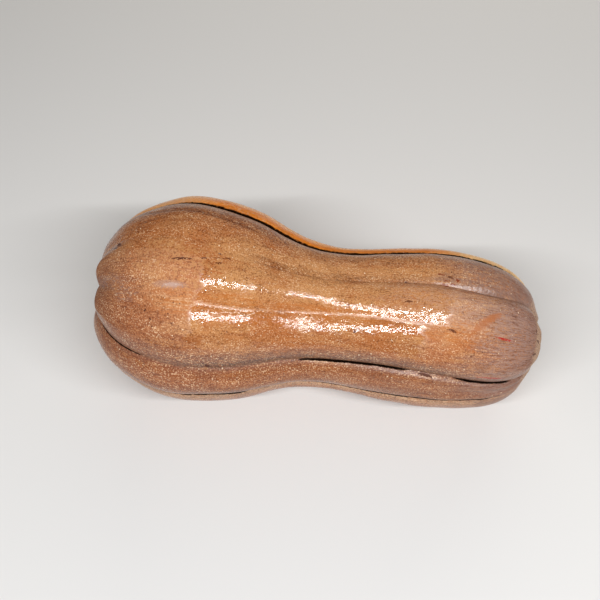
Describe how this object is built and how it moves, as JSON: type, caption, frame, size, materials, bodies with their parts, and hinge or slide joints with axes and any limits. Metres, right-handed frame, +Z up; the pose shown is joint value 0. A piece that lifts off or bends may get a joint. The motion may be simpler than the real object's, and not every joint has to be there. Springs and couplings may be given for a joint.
{
  "type": "butternut squash",
  "caption": "Whole ribbed squash lying on its side: round bulb, slimmer waist, long neck, furrows from end to end, blossom scar and cut stem; food prop",
  "frame": {"origin": "on the table under the middle of the squash's bounding box", "axes": "+X points from the blossom end to the stem end along the length, +Z is up, and the face that shows in the picture looks up and towards -Y"},
  "size_m": [0.2862, 0.1352, 0.131],
  "materials": {
    "rind": "waxy satin"
  },
  "bodies": {
    "root": {"squash": "rind"}
  },
  "joints": []
}
